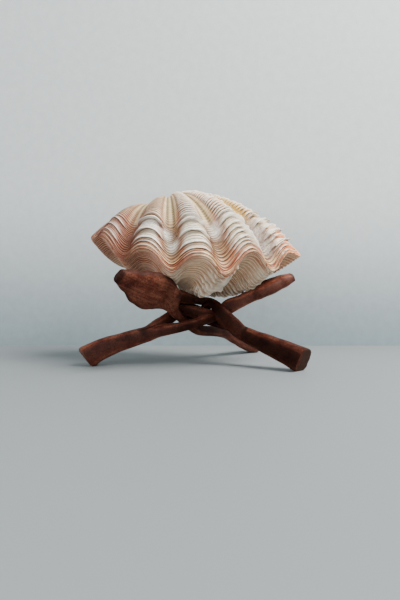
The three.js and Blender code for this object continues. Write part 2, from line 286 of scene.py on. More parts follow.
# Growth lines: turns where growth paused, from the margin up. Each has a lip on its margin side and slopes
# off towards the beak. flares: turn and height of the big terraces, with fineStep between the lines on them.
# extraFlares stand between them past extraFold. ropeStep is the spacing of the ridges above the flares, and
# ropeEndStep that of the last ones, near the beak.
# scutes: rib, first and last turn, width as a share of the rib, height. crust: fold, turn and their reach.
upperValve = {
    "name": "upper_shell",
    "node": "upper_valve",
    "side": 1,
    "shrink": 0.75,
    "rightLift": 0.42,
    "rightStart": 36,
    "leftLift": 0.34,
    "leftStart": -12,
    "ribRelief": 1.8,
    "waveFade": 0.6,
    "marginLines": [0, 0.01],
    "flares": [(0.022, 0.8), (0.055, 1.4), (0.1, 2.4), (0.18, 3.2), (0.285, 4.0)],
    "extraFlares": [(0.078, 1.8), (0.14, 2.6), (0.225, 3.4)],
    "extraFold": 2.3,
    "fineStep": 0.018,
    "lineSlope": [(0.0, 0.0), (0.05, 1.0), (0.2, 0.85), (0.5, 0.42), (0.8, 0.12)],
    "stepPower": 1.6,
    "ropeStart": 0.345,
    "ropeStep": 0.029,
    "ropeEnd": 1.2,
    "ropeEndStep": 0.08,
    "ropeHeight": 2.5,
    "ribStrength": [
        (-1, 0), (0, 0.1), (1, 0.25), (1.6, 0.4), (2, 0.9), (3, 1.1), (4, 1.5), (4.5, 0.8),
    ],
    "flareStrength": [(-1, 0.15), (0, 0.25), (1, 1.0), (2, 1.0), (3, 1.1), (4, 1.8), (4.5, 1.2)],
    "lineStrength": [(-1, 0.5), (1, 0.45), (2, 0.7), (2.8, 1.5), (4, 2.4), (4.5, 2.2)],
    "frillStrength": [(-1, 0.1), (1, 0.2), (2, 0.4), (3, 0.7), (4, 1.0), (4.5, 1.4)],
    "scutes": [(4, 0.09, 0.42, 1.4, 1.9)],
    "crust": [
        (1.0, 0.23, 0.3, 0.04), (1.42, 0.25, 0.1, 0.05), (1.55, 0.16, 0.1, 0.04), (2.6, 0.3, 0.12, 0.06),
        (3.68, 0.25, 0.16, 0.1), (3.66, 0.14, 0.15, 0.06), (2.1, 0.32, 0.25, 0.04), (3.05, 0.33, 0.2, 0.04),
    ],
    "relief": {"Rib Relief": 1.0 * mm, "Step Height": 1.0 * mm, "Line Height": 0.45 * mm, "Overhang": 1.0,
               "Riblet Height": 0.3 * mm, "Frill Depth": 0.8 * mm, "Frill Scale": 420.0,
               "Crust Height": 0.3 * mm, "Crust Scale": 700.0, "Seed": 3.0},
    "seed": 11,
}

lowerValve = {
    "name": "lower_shell",
    "node": "lower_valve",
    "side": -1,
    "shrink": 0.79,
    "rightLift": 0.7,
    "rightStart": 34,
    "leftLift": 1.3,
    "leftStart": -22,
    "ribRelief": 1.6,
    "waveFade": 0.25,
    "marginLines": [0, 0.012],
    "flares": [(0.026, 0.5), (0.06, 0.8), (0.1, 1.1), (0.15, 1.4), (0.2, 1.4), (0.255, 1.4)],
    "extraFlares": [(0.125, 1.2), (0.175, 1.4), (0.23, 1.4)],
    "extraFold": 2.7,
    "fineStep": 0.02,
    "lineSlope": [(0.0, 0.0), (0.08, 0.9), (0.2, 1.0), (0.36, 0.35), (0.55, 0.06)],
    "stepPower": 3.5,
    "ropeStart": 0.31,
    "ropeStep": 0.034,
    "ropeEnd": 1.2,
    "ropeEndStep": 0.1,
    "ropeHeight": 1.2,
    "ribStrength": [
        (-1, 0), (0.5, 0.5), (1.5, 0.7), (2.3, 2.1), (2.6, 2.2), (3, 1.3), (3.5, 1.5), (4.5, 0.8),
    ],
    "flareStrength": [
        (-1, 0.2), (0.5, 0.5), (1.5, 0.8), (2.15, 2.8), (2.65, 3.6), (2.9, 1.5), (3.5, 1.6), (4.2, 1.6),
        (4.5, 0.4),
    ],
    "lineStrength": [(-1, 0.5), (4.5, 0.6)],
    "frillStrength": [(-1, 0.2), (1.5, 0.5), (2.5, 1.4), (3.5, 1.0), (4.5, 1.0)],
    "scutes": [(4.05, 0.12, 0.42, 1.1, 2.0)],
    "crust": [(2.62, 0.14, 0.1, 0.05), (4.2, 0.2, 0.2, 0.08)],
    "relief": {"Rib Relief": 1.0 * mm, "Step Height": 1.0 * mm, "Line Height": 0.8 * mm, "Overhang": 1.0,
               "Riblet Height": 0.15 * mm, "Frill Depth": 1.1 * mm, "Frill Scale": 300.0,
               "Crust Height": 0.3 * mm, "Crust Scale": 700.0, "Seed": 8.0},
    "seed": 23,
}

# One scute: a thin curved leaf, one unit wide and high, x across the rib, y towards the margin, z outwards.
scuteShape = {
    "columns": 13,
    "rows": 6,
    "sideDrop": 0.9,
    "sideLoss": 0.35,
    "lean": 0.25,
    "curl": 0.5,
    "sweep": -0.5,
    "fanOut": 0.1,
    "ripple": 0.06,
    "ripples": 2,
    "thickness": 0.16,
    "sink": 0.35,
    "tipThinning": 0.6,
    "chordShare": 5,
    "stray": 2,
    "liftShare": 0.8,
    "shrinkPower": 1.3,
    "heightSpread": (0.75, 1.2),
    "widthSpread": (0.9, 1.1),
    "lineRise": 0.8,
}


def readTable(table, keys, column=1):
    table = np.array(table, float)
    return np.interp(keys, table[:, 0], table[:, column])


def marginWave(fold):
    turn = 2 * np.pi * fold
    return np.cos(turn) - shellGrowth["troughSharpness"] * np.cos(2 * turn)


def marginColumns():
    g = shellGrowth
    count, tip = len(g["marginPlan"]), g["rightTip"]
    front = throughPoints(g["marginPlan"], np.linspace(0, tip, g["marginSamples"]), closed=True)
    bearing = np.degrees(np.arctan2(front[:, 0], -front[:, 1]))
    frontFold = readTable(g["folds"], bearing)
    first, last = frontFold[0], frontFold[-1]
    fold = np.linspace(first, last, round((last - first) * g["columnsPerFold"]) + 1)
    x, y, bearing = [np.interp(fold, frontFold, values) for values in (front[:, 0], front[:, 1], bearing)]
    ribFade = smooth(fold - first) * smooth(last - fold)
    markFade = smooth((fold - first) * g["markFades"][0]) * smooth((last - fold) * g["markFades"][1])
    z = readTable(g["folds"], bearing, 2) * marginWave(fold)
    hinge = throughPoints(g["marginPlan"], np.linspace(tip, count, g["hingeColumns"] + 1)[1:-1], closed=True)
    nothing = np.zeros(len(hinge))
    backFold = np.linspace(last, last + g["hingeFolds"], len(hinge))
    return {
        "x": np.concatenate([x, hinge[:, 0]]), "y": np.concatenate([y, hinge[:, 1]]),
        "z": np.concatenate([z, nothing]), "fold": np.concatenate([fold, backFold]),
        "ribFade": np.concatenate([ribFade, nothing]), "markFade": np.concatenate([markFade, nothing]),
    }


def foldsLeft(turn, valve):  # the folds fade upwards
    return 1 - valve["waveFade"] * smooth(turn / shellGrowth["waveEndTurn"])


def grown(x, y, z, turn, valve):  # margin points carried by growth to a turn of a valve
    g = shellGrowth
    ending = 1 - (turn / g["beakTurn"]) ** g["beakRoundness"]
    scale = np.exp(-valve["shrink"] * turn) * ending
    right = np.maximum(0, x)
    swing = g["swing"] * np.minimum(turn, g["swingEnd"]) ** 2 * (right / (right + g["swingReach"]))
    lift = valve["rightLift"] * np.maximum(0, x - valve["rightStart"])
    lift = lift + valve["leftLift"] * np.maximum(0, valve["leftStart"] - x)
    z = z * valve["side"] * foldsLeft(turn, valve)
    up = (lift - y) * np.sin(turn) + z * np.cos(turn)
    return np.stack([
        x * scale * np.exp(-swing),
        scale * (y * np.cos(turn) + z * np.sin(turn)),
        (scale * up + g["commissureGap"] / 2) * valve["side"],
    ], -1)


def posed(points):  # from the shell's own axes to its place on the stand, in metres
    g = shellGrowth
    pitch, roll = math.radians(g["pitch"]), math.radians(g["roll"])
    x, y, z = points[..., 0], points[..., 1], points[..., 2]
    y, z = y * math.cos(pitch) - z * math.sin(pitch), y * math.sin(pitch) + z * math.cos(pitch)
    x, z = x * math.cos(roll) + z * math.sin(roll), z * math.cos(roll) - x * math.sin(roll)
    return (np.stack([x, y, z], -1) + np.array(g["beak"]) + np.array(g["centreShift"])) * mm


def divided(low, high, step):  # even places from low up to just before high
    return list(np.linspace(low, high, round((high - low) / step) + 1)[:-1])


def growthRows(valve):  # rows of the outside from the margin up: a foot, a lip and a slope for each line
    g = shellGrowth
    flares = sorted(valve["flares"] + valve["extraFlares"])
    flareTurns = [turn for turn, height in flares]
    ropeTurns = divided(valve["ropeStart"], valve["ropeEnd"], valve["ropeStep"])
    ropeTurns += divided(valve["ropeEnd"], g["lastTurn"], valve["ropeEndStep"])
    lines = list(valve["marginLines"])
    for low, high in zip(flareTurns, flareTurns[1:] + ropeTurns[:1]):
        lines += divided(low, high, valve["fineStep"])
    lines += ropeTurns + [g["lastTurn"]]
    rows = []
    for low, high in zip(lines, lines[1:]):
        isRope, isEnd = [low > valve[label] - tiny for label in ("ropeStart", "ropeEnd")]
        slope = g["endSlope"] if isEnd else g["ropeSlope"] if isRope else valve["lineSlope"]
        for share, rise in slope:
            turn = mix(low, high, share)
            rows.append((turn, rise, turn + (tiny if share else -tiny)))
    rows.append((g["lastTurn"], 0.0, g["lastTurn"] - tiny))
    turn, lineRise, sample = np.array(rows).T
    isRope = turn > valve["ropeStart"]
    found = {"turn": turn, "lineRise": lineRise, "rope": isRope}
    for label, chosen in (("few", valve["flares"]), ("all", flares)):
        big = np.array([0.0] + [turn for turn, height in chosen] + ropeTurns + [g["lastTurn"]])
        heights = [height for turn, height in chosen] + [valve["ropeHeight"]] * len(ropeTurns)
        index = np.clip(np.searchsorted(big, sample) - 1, 0, len(big) - 2)
        rise = np.clip((big[index + 1] - turn) / (big[index + 1] - big[index]), 0, 1)
        rise = np.where(isRope, lineRise, rise)
        found["bigLip"] = (lineRise == 1) & (rise > g["bigLipRise"])
        found[label + "Rise"] = np.where(lineRise == 0, np.minimum(rise, g["footRise"]), rise)
        found[label + "Height"] = np.array([0.0] + heights + [0.0])[index]
        found[label + "Index"] = index
    return found


# Relief tree: pushes the smooth valve out along its normals, first the ribs, then the steps and lines,
# and stands the scutes on the ribs.
reliefInputs = {
    "Geometry": "NodeSocketGeometry", "Rib Relief": 0.001, "Step Height": 0.001, "Line Height": 0.0003,
    "Overhang": 1.0, "Riblet Height": 0.0003, "Frill Depth": 0.0006, "Frill Scale": 400.0,
    "Crust Height": 0.0005, "Crust Scale": 900.0, "Seed": 0.0, "Scute Points": "NodeSocketObject",
    "Scute Shape": "NodeSocketObject", "Material": "NodeSocketMaterial",
}
reliefLook = {"noiseRange": (0.3, 0.7, -1.0, 1.0), "frillDetail": 2.0, "crustDetail": 3.0, "scuteSway": 3.0}


def reliefTree():
    outputs = {"Geometry": "NodeSocketGeometry"}
    tree, given, out = newGroup("growthRelief", "GeometryNodeTree", reliefInputs, outputs)
    look = reliefLook

    def roughness(scale, amount, height, detail):
        noise = seededNoise(tree, scale, given["Seed"], detail)[0]
        return times(tree, times(tree, fade(tree, noise, *look["noiseRange"]), amount), height)

    ribs = pushedOut(tree, given["Geometry"], times(tree, named(tree, "ribLift"), given["Rib Relief"]))
    frill = roughness(given["Frill Scale"], named(tree, "frill"), given["Frill Depth"], look["frillDetail"])
    crust = roughness(given["Crust Scale"], named(tree, "crust"), given["Crust Height"], look["crustDetail"])
    step = times(tree, named(tree, "stepLift"), given["Step Height"])
    line = times(tree, named(tree, "lineLift"), given["Line Height"])
    riblet = times(tree, named(tree, "riblet"), given["Riblet Height"])
    fine = maths(tree, "ADD", riblet, maths(tree, "ADD", frill, crust))
    total = maths(tree, "ADD", maths(tree, "ADD", step, line), fine)
    hang = scaledVector(tree, named(tree, "hang", vector=True), given["Overhang"])
    stepped = pushedOut(tree, ribs, total)
    stepped = addNode(tree, "GeometryNodeSetPosition", {0: stepped, "Offset": hang}).outputs[0]
    points, shape = [addNode(tree, "GeometryNodeObjectInfo", {"Object": given[label]}).outputs["Geometry"]
                     for label in ("Scute Points", "Scute Shape")]
    turned = addNode(tree, "FunctionNodeEulerToRotation", {0: named(tree, "turnBy", vector=True)}).outputs[0]
    leaves = addNode(tree, "GeometryNodeInstanceOnPoints", {
        "Points": points, "Instance": shape, "Scale": named(tree, "size", vector=True), "Rotation": turned,
    }).outputs[0]
    leaves = addNode(tree, "GeometryNodeRealizeInstances", {0: leaves}).outputs[0]
    noise = seededNoise(tree, given["Frill Scale"], given["Seed"])["Color"]
    centred = {0: noise, 1: (0.5, 0.5, 0.5)}
    sway = addNode(tree, "ShaderNodeVectorMath", centred, operation="SUBTRACT").outputs[0]
    swayAmount = times(tree, times(tree, named(tree, "frill"), given["Frill Depth"]), look["scuteSway"])
    sway = scaledVector(tree, sway, swayAmount)
    leaves = addNode(tree, "GeometryNodeSetPosition", {0: leaves, "Offset": sway}).outputs[0]
    joined = addNode(tree, "GeometryNodeJoinGeometry").inputs[0]
    tree.links.new(leaves, joined)
    tree.links.new(stepped, joined)
    whole = joined.node.outputs[0]
    made = addNode(tree, "GeometryNodeSetMaterial", {0: whole, "Material": given["Material"]})
    tree.links.new(made.outputs[0], out[0])
    return tree


def scuteLeaf():  # the leaf as a closed thin shell
    shape = scuteShape
    u, v = np.meshgrid(np.linspace(-1, 1, shape["columns"]), np.linspace(0, 1, shape["rows"]))
    width = 0.5 * u * (1 + shape["fanOut"] * v)
    height = v * (1 - shape["sideLoss"] * u ** 2) - shape["sideDrop"] * u ** 2 - shape["sink"] * (1 - v)
    height = height + shape["ripple"] * v * np.cos(2 * np.pi * shape["ripples"] * u)
    forward = shape["lean"] * v + shape["curl"] * v ** 2 - shape["sweep"] * u ** 2
    thick = shape["thickness"] * (1 - shape["tipThinning"] * v)
    front = np.stack([width, forward + thick / 2, height], -1).reshape(-1, 3)
    back = np.stack([width, forward - thick / 2, height], -1).reshape(-1, 3)
    rows, size = u.shape
    total = rows * size
    cells = [(i * size + j, i * size + j + 1, (i + 1) * size + j + 1, (i + 1) * size + j)
             for i in range(rows - 1) for j in range(size - 1)]
    faces = [cell[::-1] for cell in cells] + [tuple(total + k for k in cell) for cell in cells]
    rim = list(range(size)) + [i * size + size - 1 for i in range(1, rows)]
    rim += [(rows - 1) * size + j for j in range(size - 2, -1, -1)]
    rim += [i * size for i in range(rows - 2, 0, -1)]
    faces += [(a, b, total + b, total + a) for a, b in zip(rim, rim[1:] + rim[:1])]
    lip = np.concatenate([v.ravel(), v.ravel()])
    # the leaf's stepRise and strength bring the lips' painted highlight onto it, and its crust the crust's
    # own white, so it stays pale in shade
    marks = {"stepRise": 0.75 + 0.25 * lip, "frill": lip ** 2, "crust": 0.2 + 0.4 * lip, "strength": lip}
    return makePiece("scuteLeaf", np.concatenate([front, back]), faces, marks)


def scutePoints(valve, place, marks, bigLip, rng):  # points on the lips of the ridges, along a rib
    shape = scuteShape
    across, upward = np.gradient(place, axis=1), np.gradient(place, axis=0)
    outward = np.cross(across, upward) * valve["side"]
    outward /= np.linalg.norm(outward, axis=2)[..., None]
    labels = ("place", "turnBy", "size", "turn", "fold", "rib", "lineRise")
    found = {label: [] for label in labels}
    reach = shellGrowth["columnsPerFold"] // shape["chordShare"]
    for rib, first, last, share, height in valve["scutes"]:
        middle = int(np.argmin(np.abs(marks["fold"][0] - rib)))
        turns = marks["turn"][:, middle]
        for i in np.nonzero(bigLip & (turns > first) & (turns < last))[0][::2]:
            j = middle + int(rng.integers(-shape["stray"], shape["stray"] + 1))
            normal, down = Vector(outward[i, j]), Vector(-upward[i, j])
            down = (down - normal * down.dot(normal)).normalized()
            chord = np.linalg.norm(place[i, j + reach] - place[i, j - reach])
            smaller = math.exp(-shape["shrinkPower"] * valve["shrink"] * turns[i])
            tall = height * mm * smaller * rng.uniform(*shape["heightSpread"])
            lift = (marks["ribLift"][i, j] + shape["liftShare"] * marks["stepLift"][i, j]) * mm
            found["place"].append(place[i, j] + outward[i, j] * lift + marks["hang"][i, j])
            found["turnBy"].append(tuple(Matrix((down.cross(normal), down, normal)).transposed().to_euler()))
            found["size"].append((chord * share * rng.uniform(*shape["widthSpread"]), tall, tall))
            for label in ("turn", "fold", "rib"):
                found[label].append(marks[label][i, j])
            found["lineRise"].append(shape["lineRise"])
    return makePiece(valve["name"] + "_scutes", found.pop("place"), [], found)


def outerWall(valve, columns, rows):  # points of the outside, with what the relief and the colours read there
    g = shellGrowth
    shape = (len(rows["turn"]), len(columns["x"]))
    c = {key: np.broadcast_to(values, shape) for key, values in columns.items()}
    r = {key: np.broadcast_to(values[:, None], shape) for key, values in rows.items()}
    wander = sum(softNoise(c["fold"] * perFold, r["turn"] * perTurn, valve["seed"] + other) * size
                 for perFold, perTurn, other, size in g["wander"])
    turn = r["turn"] + wander * c["ribFade"] * smooth(r["turn"] / g["wanderFade"])
    outside = grown(c["x"], c["y"], c["z"], turn, valve)
    scale = np.exp(-valve["shrink"] * turn)
    ribs = marginWave(c["fold"]) * valve["side"]
    wide, narrow = [smooth((ribs - start) / reach) for start, reach in (g["wideRib"], g["narrowRib"])]
    isRope = r["rope"] > 0
    onRib = np.where(isRope, narrow, wide) * c["markFade"]
    strength = np.where(isRope, readTable(valve["ribStrength"], c["fold"]),
                        readTable(valve["flareStrength"], c["fold"]))
    power = np.where(isRope, 1.0, valve["stepPower"])
    amount, perFold, perLine = g["uneven"]
    steps = []
    for label in ("few", "all"):
        rise, height = r[label + "Rise"], r[label + "Height"]
        uneven = 1 + amount * softNoise(c["fold"] * perFold, r[label + "Index"] * perLine, valve["seed"] + 2)
        lift = height * uneven * (rise ** power - g["stepBase"])
        steps.append(np.array([rise, height, lift, height * uneven * rise ** g["stepLipPower"]]))
    withExtra = smooth((c["fold"] - valve["extraFold"]) / g["extraReach"] + 0.5)
    stepRise, height, lift, reach = mix(*steps, withExtra)
    offMargin = smooth(turn / g["stepFade"])
    stepLift = scale * onRib * strength * lift * offMargin
    stepHang = g["stepHang"] * scale * onRib * strength * reach
    hangTurn = (g["lineHang"] * r["lineRise"] + stepHang) * offMargin
    hang = posed(grown(c["x"], c["y"], c["z"], turn - hangTurn, valve)) - posed(outside)
    trough = 1 - wide
    start, reach = g["stripes"]
    stripes = smooth((turn - start) / reach) * c["markFade"] * trough
    lineAmount = mix(readTable(valve["lineStrength"], c["fold"]), 1.0, trough)
    lineAmount = np.where(isRope, g["ropeLines"], lineAmount)
    lineShape = r["lineRise"] ** g["linePower"] - g["lineBase"]
    crust = np.zeros_like(turn)
    for foldSpot, turnSpot, foldReach, turnReach in valve["crust"]:
        spot = np.exp(-((c["fold"] - foldSpot) / foldReach) ** 2 - ((turn - turnSpot) / turnReach) ** 2)
        crust = np.maximum(crust, spot * c["ribFade"])
    marks = {
        "turn": turn, "fold": c["fold"], "rib": ribs * c["markFade"] - (1 - c["markFade"]),
        "lineRise": r["lineRise"], "stepRise": stepRise,
        "ribLift": (valve["ribRelief"] * ribs * c["ribFade"] * smooth(turn / g["ribRiseTurn"]) * scale
                    * foldsLeft(turn, valve)),
        "stepLift": stepLift, "hang": hang,
        "strength": np.clip(onRib * strength * height / g["fullHeight"], 0, 1) * offMargin,
        "lineLift": scale * lineAmount * lineShape * smooth(turn / g["lineFade"]),
        "riblet": np.cos(2 * np.pi * g["ribletsPerFold"] * c["fold"]) * stripes * scale,
        "frill": readTable(valve["frillStrength"], c["fold"]) * onRib * stepRise ** g["frillPower"] * scale,
        "crust": crust,
    }
    return outside, marks


def innerWall(valve, columns):  # rings of the hollow, from its deepest one to the margin
    g = shellGrowth
    cx, cy = g["hollowCentre"]
    rings = []
    for depthTurn in g["hollowTurns"]:
        depth = float(smooth(depthTurn / g["deepTurn"]))
        wall = mix(g["edgeWall"], g["deepWall"], depth) * (g["lipWallShare"] if depthTurn == 0 else 1)
        inward = 1 - wall / np.hypot(columns["x"] - cx, columns["y"] - cy)
        x, y = cx + (columns["x"] - cx) * inward, cy + (columns["y"] - cy) * inward
        flat = columns["z"] * (1 - g["hollowFlattening"] * depth)
        rings.append(grown(x, y, flat, depthTurn, valve))
    return np.array(rings)


def valvePiece(valve, tree, leaf, material):
    columns, rows = marginColumns(), growthRows(valve)
    outside, marks = outerWall(valve, columns, rows)
    inside = innerWall(valve, columns)
    rings = np.concatenate([inside, outside])
    points = np.concatenate([rings.reshape(-1, 3), [inside[0].mean(0)], [outside[-1].mean(0)]])
    faces = tubeFaces(*rings.shape[:2])
    if valve["side"] < 0:
        faces = [face[::-1] for face in faces]
    padded = {}
    for label, values in marks.items():
        insideValue = shellGrowth["insideMarks"].get(label, 0.0)
        extra = np.full((inside[..., 0].size + 2,) + values.shape[2:], insideValue)
        padded[label] = np.concatenate([extra[:-2], values.reshape((-1,) + values.shape[2:]), extra[-2:]])
    piece = makePiece(valve["name"], posed(points), faces, padded)
    rng = np.random.default_rng(valve["seed"])
    lips = scutePoints(valve, posed(outside), marks, rows["bigLip"], rng)
    scutes = {"Scute Points": lips, "Scute Shape": leaf}
    growNodes(piece, tree, {**valve["relief"], **scutes, "Material": material})
    print(valve["name"], "rows", len(outside), "columns", outside.shape[1], "scutes", len(lips.data.vertices),
          "triangles", triangleCount(piece))
    bpy.data.objects.remove(lips)
    return piece


# Materials.

mottleInputs = {"Vector": "NodeSocketVector", "Scale": 200.0, "Low": 0.85, "High": 1.08}
mottleLook = {"detail": 5.0, "roughness": 0.6, "range": (0.3, 0.7)}


def mottleGroup():  # soft uneven brightness, for shell, wood and wall alike
    tree, given, out = newGroup("mottle", "ShaderNodeTree", mottleInputs, {"Value": "NodeSocketFloat"})
    noise = noiseValue(tree, given["Vector"], given["Scale"], mottleLook["detail"], mottleLook["roughness"])
    value = fade(tree, noise, *mottleLook["range"])
    spread = maths(tree, "SUBTRACT", given["High"], given["Low"])
    tree.links.new(maths(tree, "MULTIPLY_ADD", value, spread, given["Low"]), out[0])
    return tree


def mottled(tree, group, place, values):  # values: scale, darkest and lightest
    scale, low, high = values
    inputs = {"Vector": place, "Scale": scale, "Low": low, "High": high}
    return addNode(tree, "ShaderNodeGroup", inputs, node_tree=group).outputs[0]


# Line: the growth lines' own brown, also used as painted shade under the lips; Gap: how far that painted
# shade reaches.
upperLook = {
    "Flare": colour("#ebe0c6"), "Rope": colour("#d8b68e"), "Trough": colour("#653819"),
    "Flank": colour("#9c5229"), "Line": colour("#4a1a0a"),
    "Stripe Dark": colour("#7c6a42"), "Stripe Light": colour("#dcc292"),
    "Cream": colour("#e6c088"), "Band": colour("#943a12"), "Left End": colour("#78300c"),
    "Right End": colour("#f09658"), "Crust": colour("#f2ede2"),
    "Margin Reach": 0.1, "Line Strength": 0.9, "Stripe Amount": 0.9, "Left Fold": 0.95, "Right Fold": 3.95,
    "Lip Light": 0.15, "Gap": 0.35, "Spots": 1.0,
}
lowerLook = {
    "Flare": colour("#e4ccb0"), "Rope": colour("#d4ac8c"), "Trough": colour("#cba27e"),
    "Flank": colour("#d0a480"), "Line": colour("#74462c"),
    "Stripe Dark": colour("#a47e60"), "Stripe Light": colour("#d4ae8a"),
    "Cream": colour("#eacaa6"), "Band": colour("#a85a30"), "Left End": colour("#9c4e20"),
    "Right End": colour("#e09a6a"), "Crust": colour("#ece4d2"),
    "Margin Reach": 0.06, "Line Strength": 0.58, "Stripe Amount": 0.3, "Left Fold": 1.5, "Right Fold": 4.1,
    "Lip Light": 0.35, "Gap": 0.7, "Spots": 0.0,
}

# Single marks on the upper valve: a yellow tinge and a bored pinhole, placed by fold and turn.
shellSpots = [
    {"place": (3.72, 0.58), "reach": (0.22, 0.3), "amount": 0.6, "colour": colour("#e6bf5c")},
    {"place": (1.62, 0.23), "reach": (0.024, 0.009), "amount": 1.0, "colour": colour("#0a0504")},
]


# How the colours lie on both valves. Noises: scale and detail. Stretches: noise per fold and per turn.
# Pairs are the two ends of a soft change, with the values there after them where they aren't 0 and 1.
# ends: which end, where its colour starts and is full by fold, and the turn at which it is gone.
shellPattern = {
    "broadNoise": (60.0, 3.0), "fineNoise": (900.0, 6.0), "gritNoise": (300.0, 4.0), "stretchDetail": 2.0,
    "bandStretch": (1.6, 110.0), "threadStretch": (3.0, 190.0),
    "bandChange": (0.46, 0.6), "threadChange": (0.4, 0.6),
    "ribFrom": (0.3, 0.5, -0.5, -0.15), "ribTo": (0.3, 0.5, 0.25, 0.65),
    "leftCorner": (-1.35, -0.9), "rightCorner": (4.8, 4.4),
    "flareToRope": (0.3, 0.42), "ribThreads": 0.3, "troughThreads": 0.4,
    "stripeWave": (-0.9, 0.9), "stripeStart": (0.28, 0.45),
    "flankFrom": (-0.75, -0.3), "flankTo": (0.7, 0.0), "flankFade": (0.35, 0.6, 1.0, 0.4),
    "flankPatches": (0.35, 0.65, 0.3, 0.9),
    "marginStray": 0.08, "marginChange": (1.2, 0.3), "marginAmount": 0.85,
    "ends": (("Left", 0.25, -0.35, 0.9), ("Right", -0.25, 0.25, 0.28)),
    "endFull": 0.12, "endBreaks": (0.62, 0.4, 0.62, 1.0),
    "footChange": (0.35, 0.0), "footOnRibs": (0.4, -0.3, 0.55, 0.8), "footFade": (0.3, 0.42, 1.0, 0.25),
    "footBehind": 0.8, "shadeGapFade": (0.3, 0.4), "ropeShadeGap": 0.85,
    "darkBreaks": (0.65, 0.4), "darkLeast": (0.3, 0.4, 0.35, 0.75),
    # lipHighlightChange, lipHighlightAmount and lineHighlight shape the painted highlight on the lips
    "lipHighlightChange": (0.6, 1.0), "lipHighlightAmount": 0.8, "lineHighlight": (0.5, 1.0), "crustBreaks": (0.35, 0.55, 0.65, 1.0),
    "spotEdge": (1.0, 0.4), "gritBump": 0.7, "threadBump": 1.2, "mottle": (260.0, 0.85, 1.08),
}


